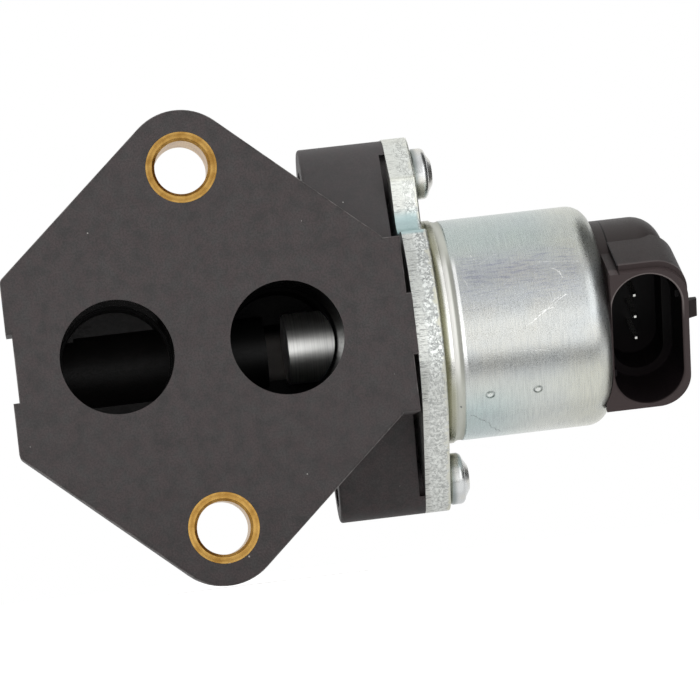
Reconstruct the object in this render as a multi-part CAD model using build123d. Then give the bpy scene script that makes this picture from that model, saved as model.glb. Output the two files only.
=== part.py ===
from build123d import *

import math
import os

# Idle air control valve, in millimetres.
# The flange face lies in the plane y = 0 and looks towards -Y. The origin is midway between its two
# bolt holes, which stand one above the other along Z. The solenoid points along +X.

# Bolt flange
flange_thickness = 8.4
flange_width = 50.6
flange_side_height = 23.2
flange_corner_radius = 1.0
flange_edge_radius = 0.35
bolt_spacing = 47.5
lobe_radius = 7.6
side_notch_height = 9.0
side_notch_depth = 0.8

# Brass bolt bushes
bush_bore_diameter = 7.0
bush_wall = 1.17
bush_chamfer = 0.35

# Air ports
port_diameter = 15.0
port_spacing = 22.4
port_wall = 2.2
port_floor = 2.5
port_web = 6.0
port_spigot_depth = 15.0
port_step = 0.25
blind_port_depth = 21.0
valve_port_depth = 23.5

# Spool bore, along the solenoid axis
axis_depth = 20.4
axis_drop = 0.5
bore_wall = 3.2
bore_overrun = 5.2
pilot_step = 0.5
pilot_length = 2.6

# Valve seat, spool and rod
seat_setback = 2.0
seat_length = 11.8
seat_wall = 1.1
spool_opening = 2.6
spool_diameter = 9.64
spool_clearance = 0.08
spool_length = 13.6
spool_chamfer = 0.35
rod_diameter = 3.0
rod_clearance = 0.02
rod_free_clearance = 0.3
rod_socket_depth = 9.0

# Eared boss at the solenoid end of the body
boss_setback = 5.45
boss_length = 10.8
boss_waist_radius = 12.0
boss_upper_ear = 5.05
boss_lower_ear = 4.2
boss_edge_radius = 0.4
pad_height = 0.8
pad_inset = 1.2
pad_tip_run = 2.3
edge_rib_height = 8.1
edge_rib_depth = 0.7
edge_rib_drop = 0.05
rim_width = 4.0
seal_thickness = 1.4
seal_groove_width = 2.0

# Solenoid plate and its screws
plate_thickness = 3.45
plate_radius = 18.9
plate_upper_ear = 5.2
plate_lower_ear = 4.2
plate_ledge_rise = 13.1
plate_neck_width = 16.0
plate_neck_rise = 20.7
plate_neck_round = 2.4
plate_corner_radius = 0.6
plate_edge_radius = 0.3
screw_spacing = 41.9
screw_row_rise = 0.85
screw_diameter = 4.0
screw_hole_clearance = 0.25
screw_thread_clearance = 0.03
screw_end_setback = 1.5
screw_head_diameter = 7.0
screw_head_height = 2.3
screw_head_round = 0.8
screw_foot_round = 0.6
screw_crown_diameter = 5.4
screw_crown_height = 0.65
screw_crown_taper = 1.0
screw_slot_length = 2.8
screw_slot_width = 0.8
screw_slot_depth = 1.3

# Drawn can
can_diameter = 30.1
can_wall = 1.0
can_length = 23.2
can_fold_radius = 3.0
can_opening_clearance = 0.1
can_foot_round = 0.9
bead_length = 2.0
bead_height = 0.22
bead_round = 0.5
bead_groove_round = 1.2
bead_groove_depth = 0.12
bead_groove_offset = 0.4
punch_diameter = 1.2
punch_core = 0.5
punch_depth = 0.15
punch_spacing = 6.45
punch_setback = 6.1
punch_angle = 40.4

# Coil, pole piece and armature
bobbin_wall = 0.9
bobbin_flange = 1.2
bobbin_end_gap = 0.1
bobbin_side_gap = 0.5
winding_depth = 5.2
pole_head_diameter = 15.0
pole_head_thickness = 1.2
pole_neck_diameter = 13.0
pole_clearance = 0.05
armature_diameter = 11.2
armature_length = 7.2
armature_clearance = 0.3
armature_residual_gap = 0.3
guide_wall = 1.1
guide_shoulder = 0.6
spring_diameter = 5.0
spring_wire = 0.6
spring_turns = 7.5
spring_clearance = 0.5
spring_pole_depth = 3.6
spring_armature_depth = 3.0
flux_washer_thickness = 2.0
flux_washer_clearance = 0.5
stop_washer_thickness = 1.0
stop_washer_width = 2.6
bobbin_seal_thickness = 1.3

# Connector
disc_land = 0.4
can_lip = 2.4
cap_length = 9.6
cap_edge_radius = 4.0
socket_tilt = 29.0
socket_offset = 1.3
socket_reach = 12.5
socket_width = 9.5
socket_height = 19.2
socket_depth = 13.5
socket_wall = 0.87
socket_top_wall = 0.5
socket_low_wall = 0.55
socket_inner_wall = 0.18
socket_corner_radius = 4.4
socket_lap = 1.1
socket_lap_drop = 4.0
socket_lap_clearance = 0.1
mouth_chamfer = 0.2
ledge_depth = 8.6
ledge_width = 1.3
key_width = 1.0
key_height = 0.6
key_setback = 2.0
key_rise = 5.4
crown_height = 0.75
crown_side = 0.1
crown_inset = 1.3
crown_start = 2.2
crown_setback = 1.2
nib_height = 2.45
nib_rise = 0.4
nib_width = 2.6
nib_ramp = 1.0
nib_land = 0.6
nib_setback = 6.4
terminal_pitch = 3.2
terminal_row_offset = 1.0
terminal_side_offset = 0.3
terminal_size = 0.64
terminal_tip = 8.1
terminal_root = 3.5
terminal_point = 0.5

# Small gaps
press_gap = 0.02
closing_gap = 0.1
seat_gap = 0.05

# Places along the solenoid axis, worked out from the sizes above
port_x = port_spacing / 2
screw_rises = (screw_row_rise + screw_spacing / 2, screw_row_rise - screw_spacing / 2)
bush_radius = bush_bore_diameter / 2 + bush_wall
bore_radius = spool_diameter / 2 + spool_clearance
bore_end = -port_x - bore_overrun
pilot_end = bore_end - pilot_length
seat_face = port_x - seat_setback
spool_face = seat_face + spool_opening
rod_start = spool_face + spool_length - rod_socket_depth
travel = spool_opening - closing_gap
boss_start = port_x + boss_setback
boss_face = boss_start + boss_length
plate_start = boss_face + pad_height
plate_end = plate_start + plate_thickness
can_end = plate_end + can_length
can_radius = can_diameter / 2
can_inner_radius = can_radius - can_wall
cap_diameter = can_diameter - 2 * can_lip
disc_end = can_end - can_wall - seat_gap
disc_start = disc_end - (can_fold_radius - can_wall) - disc_land
stop_face = disc_start - stop_washer_thickness
armature_end = stop_face - seat_gap
armature_start = armature_end - armature_length
pole_end = armature_start - travel - armature_residual_gap
spring_start = pole_end - spring_pole_depth
guide_end = spring_start - guide_shoulder
bobbin_bore = armature_diameter / 2 + armature_clearance
bobbin_start = plate_end + bobbin_end_gap
winding_start = bobbin_start + bobbin_seal_thickness + bobbin_flange
flux_end = disc_start
flux_start = flux_end - flux_washer_thickness
bobbin_end = flux_start - bobbin_end_gap
cap_end = can_end + cap_length
seal_radius = bore_radius + bore_wall + rim_width / 2

# Socket direction: towards the flange side and downwards
tilt = math.radians(socket_tilt)
socket_direction = Vector(0, -math.cos(tilt), -math.sin(tilt))
socket_up = Vector(0, -math.sin(tilt), math.cos(tilt))
socket_left = can_end + socket_inner_wall
socket_x = socket_left + socket_width / 2
socket_right = socket_left + socket_width + socket_wall
socket_floor = socket_reach - socket_depth
socket_ledge = socket_reach - ledge_depth
terminal_tip_at = socket_reach - terminal_tip
terminal_numbers = (1, 2, 3)
middle_terminal = 2

face_plane = Plane(origin=(0, 0, 0), x_dir=(1, 0, 0), z_dir=(0, -1, 0))
solenoid_axis = Axis((0, axis_depth, -axis_drop), (1, 0, 0))


def across(x, up=0.0):
    """Plane across the solenoid axis: its own x runs away from the flange, its own y runs up."""
    return Plane(origin=(x, axis_depth, up - axis_drop), x_dir=(0, 1, 0), z_dir=(1, 0, 0))


def turned(start, end, radius, bore=0.0, up=0.0):
    """Round piece along the solenoid axis, or along a line parallel to it, with an optional bore."""
    section = Circle(radius)
    if bore > 0:
        section -= Circle(bore)
    return extrude(across(start, up) * section, amount=end - start)


def sunk(outline, depth, start=0.0):
    """Outline drawn on the flange face, carried back from it to a depth."""
    return extrude(face_plane.offset(-start) * outline, amount=start - depth)


def socket_plane(reach):
    """Plane across the socket at a distance from the solenoid axis: its own y runs up the socket."""
    origin = Vector(0, axis_depth, -axis_drop) + socket_direction * reach
    return Plane(origin=origin, x_dir=(1, 0, 0), z_dir=socket_direction)


def o_ring(x, radius, thickness):
    """Round-section ring about the solenoid axis."""
    section_plane = Plane(origin=(x, axis_depth, radius - axis_drop), x_dir=(1, 0, 0), z_dir=(0, -1, 0))
    return revolve(section_plane * Circle(thickness / 2), axis=solenoid_axis)


def last_rim(solid, direction=1):
    """Outermost circular edge of a round solid at its far end, or at its near end."""
    rims = solid.edges().filter_by(GeomType.CIRCLE).sort_by(Axis.X)
    end_x = rims[-1].center().X if direction > 0 else rims[0].center().X
    at_end = rims.filter_by(lambda edge: abs(edge.center().X - end_x) < press_gap)
    return at_end.sort_by(SortBy.RADIUS)[-1]


def make_flange():
    """Hexagonal flange with two round lobes, and the block that joins it to the boss."""
    outline = Rectangle(flange_width, flange_side_height)
    for side in (1, -1):
        outline += Pos(0, side * bolt_spacing / 2) * Circle(lobe_radius)
    outline = make_hull(outline.edges())
    corners = outline.vertices().filter_by(lambda v: abs(abs(v.X) - flange_width / 2) < press_gap)
    outline = fillet(corners, flange_corner_radius)
    outline -= Pos(-flange_width / 2, 0) * Rectangle(2 * side_notch_depth, side_notch_height)
    block_length = boss_face - port_x
    outline += Pos(boss_face - block_length / 2, 0) * Rectangle(block_length, flange_side_height)
    rib_length = edge_rib_depth + boss_setback
    rib_x = boss_face + edge_rib_depth - rib_length / 2
    outline += Pos(rib_x, -edge_rib_drop) * Rectangle(rib_length, edge_rib_height)
    flange = sunk(outline, flange_thickness)
    front = flange.faces().sort_by(Axis.Y)[0]
    return fillet(front.outer_wire().edges(), flange_edge_radius)


def make_boss():
    """Two-eared boss with the block above it, screw pads and the rim that carries the seal."""
    outline = Circle(boss_waist_radius)
    outline += Pos(0, screw_rises[0]) * Circle(boss_upper_ear)
    outline += Pos(0, screw_rises[1]) * Circle(boss_lower_ear)
    outline = make_hull(outline.edges())
    boss = extrude(across(boss_start) * outline, amount=boss_length)
    boss = fillet(boss.faces().sort_by(Axis.X)[0].outer_wire().edges(), boss_edge_radius)
    block_length = boss_face - port_x
    block = Pos(boss_face - block_length / 2, 0) * Rectangle(block_length, flange_side_height)
    boss += sunk(block, axis_depth, flange_thickness / 2)
    far_half = Pos(boss_waist_radius, 0) * Rectangle(2 * boss_waist_radius, 2 * screw_spacing)
    boss += extrude(across(boss_face) * (outline & far_half), amount=pad_height)
    for side, rise, ear in ((1, screw_rises[0], boss_upper_ear), (-1, screw_rises[1], boss_lower_ear)):
        boss += turned(boss_face, plate_start, ear - pad_inset, up=rise)
        beyond = Pos(0, rise + side * (2 * ear - pad_tip_run)) * Rectangle(2 * boss_waist_radius, 2 * ear)
        boss += extrude(across(boss_face) * (outline & beyond), amount=pad_height)
    boss += turned(boss_face, plate_start, bore_radius + bore_wall + rim_width)
    return boss


def make_valve_body():
    """One moulding: flange, port towers, spool barrel and boss, with every passage cut through it."""
    body = make_flange()
    for x, depth in ((-port_x, blind_port_depth), (port_x, valve_port_depth)):
        tower = Pos(x, 0) * Circle(port_diameter / 2 + port_wall)
        body += sunk(tower, depth + port_floor, flange_thickness / 2)
    web = Rectangle(port_spacing, port_web)
    body += sunk(web, axis_depth, flange_thickness / 2)
    barrel = turned(pilot_end - port_floor, boss_face, bore_radius + bore_wall)
    body += fillet(last_rim(barrel, -1), boss_edge_radius)
    body += make_boss()
    for x, depth in ((-port_x, blind_port_depth), (port_x, valve_port_depth)):
        body -= sunk(Pos(x, 0) * Circle(port_diameter / 2), port_spigot_depth)
        body -= sunk(Pos(x, 0) * Circle(port_diameter / 2 - port_step), depth)
    body -= turned(bore_end, plate_start, bore_radius)
    body -= turned(pilot_end, bore_end, bore_radius - pilot_step)
    for side in (1, -1):
        bush_hole = Circle(bush_radius + press_gap)
        body -= sunk(Pos(0, side * bolt_spacing / 2) * bush_hole, flange_thickness)
    for rise in screw_rises:
        hole = screw_diameter / 2 + screw_thread_clearance
        body -= turned(boss_start, plate_start, hole, up=rise)
    groove = seal_radius - seal_groove_width / 2
    body -= turned(plate_start - seal_thickness, plate_start, groove + seal_groove_width, groove)
    return body


def make_bush(side):
    """Brass bush in a bolt lobe, as long as the flange is thick."""
    ring = Circle(bush_radius) - Circle(bush_bore_diameter / 2)
    bush = sunk(Pos(0, side * bolt_spacing / 2) * ring, flange_thickness)
    rims = bush.edges().filter_by(GeomType.CIRCLE)
    bore_rims = rims.filter_by(lambda edge: edge.radius < bush_radius - bush_wall / 2)
    return chamfer(bore_rims, min(bush_chamfer, bush_wall / 2))


def make_valve_seat():
    """Ring pressed into the bore between the two ports."""
    outer = bore_radius - press_gap
    return turned(seat_face - seat_length, seat_face, outer, bore_radius - seat_wall)


def make_valve_spool():
    """Turned spool that closes on the seat, pressed on the rod."""
    spool = turned(spool_face, spool_face + spool_length, spool_diameter / 2)
    for end in (-1, 1):
        spool = chamfer(last_rim(spool, end), spool_chamfer)
    return spool - turned(rod_start, spool_face + spool_length, rod_diameter / 2 + press_gap)


def make_plunger_rod():
    """Rod from its socket in the spool to the back of the armature."""
    return turned(rod_start, armature_end, rod_diameter / 2)


def make_solenoid_plate():
    """Thick sheared plate: a round cut off at a ledge, a necked upper ear and a tapered lower ear."""
    disc = Pos(0, screw_row_rise) * Circle(plate_radius)
    lower = Pos(0, screw_rises[1]) * Circle(plate_lower_ear)
    above_ledge = Pos(0, plate_ledge_rise + plate_radius) * Rectangle(2 * plate_radius, 2 * plate_radius)
    outline = make_hull((disc + lower).edges()) - above_ledge
    neck = Pos(0, plate_neck_rise / 2) * Rectangle(plate_neck_width, plate_neck_rise)
    upper = Pos(0, screw_rises[0]) * Circle(plate_upper_ear)
    outline += make_hull((neck + upper).edges())
    on_ledge = outline.vertices().filter_by(lambda v: abs(v.Y - plate_ledge_rise) < press_gap)
    at_neck = on_ledge.filter_by(lambda v: abs(abs(v.X) - plate_neck_width / 2) < press_gap)
    outline = fillet(at_neck, plate_neck_round)
    at_rim = outline.vertices().filter_by(lambda v: abs(v.Y - plate_ledge_rise) < press_gap)
    outline = fillet(at_rim.sort_by(Axis.X)[0::len(at_rim) - 1], plate_corner_radius)
    plate = extrude(across(plate_start) * outline, amount=plate_thickness)
    plate = fillet(plate.faces().sort_by(Axis.X)[-1].outer_wire().edges(), plate_edge_radius)
    plate -= turned(plate_start, plate_end, pole_neck_diameter / 2 + press_gap)
    head_pocket = pole_head_diameter / 2 + press_gap
    plate -= turned(plate_start, plate_start + pole_head_thickness, head_pocket)
    for rise in screw_rises:
        hole = screw_diameter / 2 + screw_hole_clearance
        plate -= turned(plate_start, plate_end, hole, up=rise)
    return plate


def make_body_screw(up):
    """Pan-head screw with a raised crown and a cross recess."""
    head_end = plate_end + screw_head_height
    tip_end = head_end + screw_crown_height
    head = turned(plate_end, head_end, screw_head_diameter / 2, up=up)
    head = fillet(last_rim(head), screw_head_round)
    foot_room = screw_head_height - screw_head_round - press_gap
    screw = fillet(last_rim(head, -1), min(screw_foot_round, foot_room))
    raised = turned(head_end, tip_end, screw_crown_diameter / 2, up=up)
    crown_bevel = screw_crown_height - press_gap
    screw += chamfer(last_rim(raised), length=crown_bevel, length2=screw_crown_taper)
    screw += turned(boss_start + screw_end_setback, plate_end, screw_diameter / 2, up=up)
    cross = Rectangle(screw_slot_length, screw_slot_width) + Rectangle(screw_slot_width, screw_slot_length)
    return screw - extrude(across(tip_end, up) * cross, amount=-screw_slot_depth)


def make_solenoid_can():
    """Drawn can with a beaded foot on the plate and its far end folded in over the connector's disc."""
    bead = turned(plate_end, plate_end + bead_length, can_radius + bead_height)
    can = make_can_envelope() + fillet(last_rim(bead), min(bead_round, bead_height + can_wall / 2))
    can = fillet(last_rim(can, -1), min(can_foot_round, can_wall))
    groove_x = plate_end + bead_length + bead_groove_offset
    groove_radius = can_radius + bead_groove_round - bead_groove_depth
    can -= o_ring(groove_x, groove_radius, 2 * bead_groove_round)
    hollow = turned(plate_end, can_end - can_wall, can_inner_radius)
    can -= fillet(last_rim(hollow), can_fold_radius - can_wall)
    for step in (0, 1):
        can -= make_punch_mark(plate_end + punch_setback + step * punch_spacing)
    return can - turned(disc_start, can_end, cap_diameter / 2 + can_opening_clearance)


def make_can_envelope():
    """Outside of the can without its bead, solid."""
    return fillet(last_rim(turned(plate_end, can_end, can_radius)), can_fold_radius)


def make_punch_mark(x):
    """Shallow ring struck into the can's side, below its middle on the flange side."""
    lean = math.radians(punch_angle)
    outward = Vector(0, -math.cos(lean), -math.sin(lean))
    surface = Vector(x, axis_depth, -axis_drop) + outward * can_radius
    side_plane = Plane(origin=surface, x_dir=(1, 0, 0), z_dir=outward)
    ring = Circle(punch_diameter / 2) - Circle(punch_core / 2)
    return extrude(side_plane * ring, amount=punch_depth, both=True)


def make_connector_housing():
    """One moulding: disc held in the can, round cap, and the socket with its keys, crown and latch nib."""
    disc = turned(disc_start, disc_end, can_inner_radius - seat_gap)
    housing = fillet(last_rim(disc), can_fold_radius - can_wall)
    cap = turned(disc_start, cap_end, cap_diameter / 2)
    housing += fillet(last_rim(cap), cap_edge_radius)
    shell_left = can_end - socket_lap
    shell_width = socket_right - shell_left
    shell_height = socket_height + socket_top_wall + socket_low_wall
    shell_middle = socket_offset + (socket_top_wall - socket_low_wall) / 2
    shell = Pos(shell_left + shell_width / 2, shell_middle) * Rectangle(shell_width, shell_height)
    right_corners = shell.vertices().sort_by(Axis.X)[-2:]
    shell = fillet(right_corners, socket_corner_radius)
    above_lap = Rectangle(2 * (socket_lap + socket_lap_clearance), 2 * shell_height)
    shell -= Pos(shell_left, socket_offset - socket_lap_drop + shell_height) * above_lap
    beyond_mouth = Pos(cap_end, 0) * Rectangle(2 * cap_length, cap_diameter)
    housing -= extrude(socket_plane(socket_reach) * beyond_mouth, amount=cap_diameter)
    can_room = offset(make_can_envelope(), socket_lap_clearance)
    housing += extrude(socket_plane(0) * shell, amount=socket_reach) - can_room
    crown_area = Rectangle(2 * shell_width, 2 * socket_height)
    crown_low = socket_offset + nib_rise + nib_width / 2
    crown_area = Pos(can_end + crown_inset + shell_width, crown_low + socket_height) * crown_area
    crown = Pos(crown_side, crown_height) * shell & crown_area
    housing += extrude(socket_plane(crown_start) * crown, amount=socket_reach - crown_setback - crown_start)
    housing += make_latch_nib()
    opening = Pos(socket_x, socket_offset) * SlotOverall(socket_height, socket_width, rotation=90)
    housing -= extrude(socket_plane(socket_ledge) * opening, amount=ledge_depth)
    mouth = SlotOverall(socket_height + 2 * mouth_chamfer, socket_width + 2 * mouth_chamfer, rotation=90)
    mouth = socket_plane(socket_reach) * Pos(socket_x, socket_offset) * mouth
    housing -= extrude(mouth, amount=-mouth_chamfer, taper=45)
    well_height = socket_height - 2 * ledge_width
    well = SlotOverall(well_height, socket_width - 2 * ledge_width, rotation=90)
    well = Pos(socket_x, socket_offset) * well
    housing -= extrude(socket_plane(socket_floor) * well, amount=socket_ledge - socket_floor)
    for side in (1, -1):
        key_x = socket_x + side * (socket_width - key_height) / 2
        key = Pos(key_x, socket_offset + side * key_rise) * Rectangle(key_height, key_width)
        housing += extrude(socket_plane(socket_ledge) * key, amount=ledge_depth - key_setback)
    for number in terminal_numbers:
        pocket = terminal_outline(number, terminal_size + 2 * press_gap)
        housing -= extrude(socket_plane(socket_floor - terminal_root) * pocket, amount=terminal_root)
    return housing


def make_latch_nib():
    """Ramped nib on the outer long side of the socket, for the plug's latch."""
    side_plane = Plane(
        origin=Vector(0, axis_depth, -axis_drop) + socket_up * (socket_offset + nib_rise),
        x_dir=socket_direction,
        z_dir=socket_up,
    )
    low = socket_reach - nib_setback - nib_ramp - nib_land
    ramp = Polyline(
        (low, socket_right - socket_wall / 2),
        (low, socket_right + nib_height),
        (low + nib_land, socket_right + nib_height),
        (low + nib_land + nib_ramp, socket_right),
        (low + nib_land + nib_ramp, socket_right - socket_wall / 2),
        close=True,
    )
    return extrude(side_plane * make_face(ramp), amount=nib_width / 2, both=True)


def terminal_outline(number, size):
    """Square section of one of the three pins, in a row up the socket."""
    rise = (number - middle_terminal) * terminal_pitch
    return Pos(socket_x - terminal_side_offset, terminal_row_offset + rise) * Rectangle(size, size)


def make_terminal(number):
    """Square pin with a pointed tip, rooted in the housing."""
    root = socket_floor - terminal_root
    outline = terminal_outline(number, terminal_size)
    pin = extrude(socket_plane(root) * outline, amount=terminal_tip_at - root)
    tip = pin.faces().sort_by(lambda face: face.center().dot(socket_direction))[-1]
    return chamfer(tip.edges(), terminal_point, terminal_size / 4)


def make_pole_piece():
    """Fixed core, headed in the plate, with a pocket for the spring and a bore for the guide bush."""
    pole = turned(plate_start, plate_start + pole_head_thickness, pole_head_diameter / 2)
    pole += turned(plate_start, plate_end, pole_neck_diameter / 2)
    pole += turned(plate_end, pole_end, bobbin_bore - pole_clearance)
    bush_hole = rod_diameter / 2 + rod_clearance + guide_wall + press_gap
    pole -= turned(plate_start, guide_end, bush_hole)
    pole -= turned(guide_end, spring_start, rod_diameter / 2 + rod_free_clearance)
    pocket = (spring_diameter + spring_wire) / 2 + spring_clearance
    return pole - turned(spring_start, pole_end, pocket)


def make_guide_bush():
    """Bronze bush that guides the rod in the pole piece."""
    bore = rod_diameter / 2 + rod_clearance
    return turned(plate_start, guide_end, bore + guide_wall, bore)


def make_armature():
    """Soft-iron plunger pressed on the rod, with a pocket for the spring."""
    armature = turned(armature_start, armature_end, armature_diameter / 2, rod_diameter / 2 + press_gap)
    pocket = (spring_diameter + spring_wire) / 2 + spring_clearance
    return armature - turned(armature_start, armature_start + spring_armature_depth, pocket)


def make_return_spring():
    """Coil spring between the pockets of pole piece and armature, ground flat at both ends."""
    length = armature_start + spring_armature_depth - spring_start
    path = Helix(
        pitch=length / spring_turns,
        height=length,
        radius=spring_diameter / 2,
        center=(spring_start, axis_depth, -axis_drop),
        direction=(1, 0, 0),
    )
    wire = Plane(origin=path @ 0, z_dir=path % 0) * Circle(spring_wire / 2)
    coil = sweep(wire, path=path, is_frenet=True)
    return coil & turned(spring_start, spring_start + length, spring_diameter)


def make_coil_bobbin():
    """Moulded bobbin with two flanges and a recess for its seal at the plate."""
    flange_radius = can_inner_radius - bobbin_side_gap
    bobbin = turned(bobbin_start, bobbin_end, bobbin_bore + bobbin_wall, bobbin_bore)
    bobbin += turned(bobbin_start, winding_start, flange_radius, bobbin_bore)
    bobbin += turned(bobbin_end - bobbin_flange, bobbin_end, flange_radius, bobbin_bore)
    recess = bobbin_bore + bobbin_seal_thickness + 2 * press_gap
    return bobbin - turned(bobbin_start, bobbin_start + bobbin_seal_thickness, recess)


def make_coil_winding():
    """Copper winding, as one ring between the bobbin's flanges."""
    inner = bobbin_bore + bobbin_wall + press_gap
    return turned(winding_start, bobbin_end - bobbin_flange, inner + winding_depth, inner)


def make_flux_washer():
    """Steel ring around the back of the armature."""
    bore = armature_diameter / 2 + flux_washer_clearance
    return turned(flux_start, flux_end, can_inner_radius - seat_gap, bore)


def make_bobbin_seal():
    """Round ring between plate, pole piece and bobbin."""
    x = plate_end + press_gap + bobbin_seal_thickness / 2
    radius = bobbin_bore + press_gap + bobbin_seal_thickness / 2
    return o_ring(x, radius, bobbin_seal_thickness)


def make_stop_washer():
    """Rubber ring that the armature rests on."""
    outer = armature_diameter / 2
    return turned(stop_face, disc_start, outer, outer - stop_washer_width)


nodes = {
    "valve_body": make_valve_body(),
    "upper_bush": make_bush(1),
    "lower_bush": make_bush(-1),
    "valve_seat": make_valve_seat(),
    "valve_spool": make_valve_spool(),
    "plunger_rod": make_plunger_rod(),
    "armature": make_armature(),
    "return_spring": make_return_spring(),
    "pole_piece": make_pole_piece(),
    "guide_bush": make_guide_bush(),
    "solenoid_plate": make_solenoid_plate(),
    "body_screws": Compound(children=[make_body_screw(rise) for rise in screw_rises]),
    "solenoid_can": make_solenoid_can(),
    "coil_bobbin": make_coil_bobbin(),
    "coil_winding": make_coil_winding(),
    "flux_washer": make_flux_washer(),
    "stop_washer": make_stop_washer(),
    "connector_housing": make_connector_housing(),
    "body_seal": o_ring(plate_start - seal_thickness / 2, seal_radius, seal_thickness - 2 * press_gap),
    "bobbin_seal": make_bobbin_seal(),
}
for number in terminal_numbers:
    nodes[f"terminal_{number}"] = make_terminal(number)

os.makedirs("parts", exist_ok=True)
for name, solid in nodes.items():
    export_step(solid, f"parts/{name}.step")
    print(f"{name}: {solid.volume:.1f} cubic mm")
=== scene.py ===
# %% [markdown]
# # Idle air valve in the studio
# This lesson dresses a small engine part: a valve that lets a little air past the throttle at idle.
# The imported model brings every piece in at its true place, in metres, so nothing here is moved or
# scaled. What is added is light, a camera, surface finishes, and a few pieces that Blender makes
# better than a plain solid can.

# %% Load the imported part
import math

import bpy
from mathutils import Matrix, Vector


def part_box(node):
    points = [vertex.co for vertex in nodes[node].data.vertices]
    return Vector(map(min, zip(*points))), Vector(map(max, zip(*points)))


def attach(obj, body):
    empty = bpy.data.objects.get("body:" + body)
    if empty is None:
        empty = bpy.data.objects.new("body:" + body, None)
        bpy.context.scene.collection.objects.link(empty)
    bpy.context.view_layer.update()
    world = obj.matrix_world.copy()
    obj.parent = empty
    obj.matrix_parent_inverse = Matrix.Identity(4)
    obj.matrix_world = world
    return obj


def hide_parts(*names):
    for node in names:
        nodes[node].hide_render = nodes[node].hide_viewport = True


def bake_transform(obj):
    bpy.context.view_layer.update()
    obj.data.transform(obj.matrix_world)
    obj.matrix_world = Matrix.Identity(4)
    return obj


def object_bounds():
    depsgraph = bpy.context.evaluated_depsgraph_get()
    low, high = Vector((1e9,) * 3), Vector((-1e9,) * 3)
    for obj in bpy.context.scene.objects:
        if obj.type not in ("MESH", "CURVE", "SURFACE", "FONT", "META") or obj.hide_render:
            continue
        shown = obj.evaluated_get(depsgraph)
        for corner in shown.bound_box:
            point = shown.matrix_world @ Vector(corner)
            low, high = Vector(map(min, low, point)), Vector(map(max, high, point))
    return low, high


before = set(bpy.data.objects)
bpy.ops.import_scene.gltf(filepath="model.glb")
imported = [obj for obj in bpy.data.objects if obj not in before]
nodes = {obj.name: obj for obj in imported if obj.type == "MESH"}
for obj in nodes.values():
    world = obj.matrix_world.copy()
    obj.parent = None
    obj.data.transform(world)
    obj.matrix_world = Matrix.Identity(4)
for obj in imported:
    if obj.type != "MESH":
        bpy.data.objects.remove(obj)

cad_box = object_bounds()
print("pieces in the frame:", len(nodes))

# %% [markdown]
# ## The camera
# A long lens from half a metre keeps the flange's sides almost parallel. The place, the target and the
# small roll were found by matching the bolt holes, the ports and the straight edges of the can to the
# picture of the real valve. Setting the matrix directly is exact, where a Track To constraint would
# lose the roll.

# %% Place the camera
camera_place = Vector((-0.02192, -0.51875, -0.03011))
camera_target = Vector((0.01914, 0.0, -0.00262))
camera_roll = 0.1203
camera_lens = 204.63

ahead = (camera_target - camera_place).normalized()
level = ahead.cross(Vector((0, 0, 1))).normalized()
upright = level.cross(ahead)
side_axis = math.cos(camera_roll) * level - math.sin(camera_roll) * upright
up_axis = math.sin(camera_roll) * level + math.cos(camera_roll) * upright
turn = Matrix((side_axis, up_axis, -ahead)).transposed()

camera_data = bpy.data.cameras.new("camera")
camera_data.sensor_width = 36.0
camera_data.lens = camera_lens
camera_data.clip_start = 0.01
camera = bpy.data.objects.new("camera", camera_data)
camera.matrix_world = Matrix.Translation(camera_place) @ turn.to_4x4()
bpy.context.scene.collection.objects.link(camera)
bpy.context.scene.camera = camera
print("camera stands", round((camera_place - camera_target).length, 3), "m away")

# %% [markdown]
# ## Small helpers for node trees
# Shader trees are long when each node takes five lines. One helper adds a node and fills its inputs,
# either with a value or with a link to another node's output. Colours are written as a screen shows
# them, 0 to 255, and turned into the linear values that shaders work in.

# %% Helpers for nodes and colours
def add(tree, kind, inputs=None, **options):
    """Adds a node; inputs are values, or output sockets to link."""
    node = tree.nodes.new(kind)
    for option, value in options.items():
        setattr(node, option, value)
    for key, value in (inputs or {}).items():
        if isinstance(value, bpy.types.NodeSocket):
            tree.links.new(value, node.inputs[key])
        else:
            node.inputs[key].default_value = value
    return node


def maths(tree, operation, *values):
    """One step of arithmetic on values or sockets."""
    return add(tree, "ShaderNodeMath", dict(enumerate(values)), operation=operation).outputs[0]


def times(tree, first, second):
    """Product of two values or sockets."""
    return maths(tree, "MULTIPLY", first, second)


def plus(tree, first, second):
    """Sum of two values or sockets."""
    return maths(tree, "ADD", first, second)


def minus(tree, first, second):
    """Difference of two values or sockets."""
    return maths(tree, "SUBTRACT", first, second)


def blend(tree, factor, first, second):
    """Mixes two colours by a factor."""
    return add(tree, "ShaderNodeMix", {0: factor, 6: first, 7: second}, data_type="RGBA").outputs[2]


def ease(tree, value, start, end, low=0.0, high=1.0):
    """Goes smoothly from low to high as the value goes from start to end."""
    ends = {"Value": value, "From Min": start, "From Max": end, "To Min": low, "To Max": high}
    return add(tree, "ShaderNodeMapRange", ends, interpolation_type="SMOOTHSTEP").outputs[0]


def band(tree, value, start, full, fade, end):
    """1 between full and fade, falling to 0 at start and end."""
    return times(tree, ease(tree, value, start, full), ease(tree, value, end, fade))


def shown(red, green, blue):
    """A colour as a screen shows it, in linear values."""
    def linear(level):
        share = level / 255
        return share / 12.92 if share <= 0.04045 else ((share + 0.055) / 1.055) ** 2.4
    return (linear(red), linear(green), linear(blue), 1.0)


def link_object(obj):
    """Puts an object in the scene."""
    bpy.context.scene.collection.objects.link(obj)
    return obj


# %% [markdown]
# ## White floor and white surroundings
# The real valve stands in a white tent. The world is plain white to the camera and in reflections, and
# a little dimmer as a source of light. The floor is white in reflections too. To the camera it is lit
# like any matt surface, with a little glow of its own, so it fades to white but keeps the shadow.

# %% World and floor
ambient_light = 0.72
floor_gap = 0.0002
floor_reach = 3.0
floor_glow = 0.58


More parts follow.
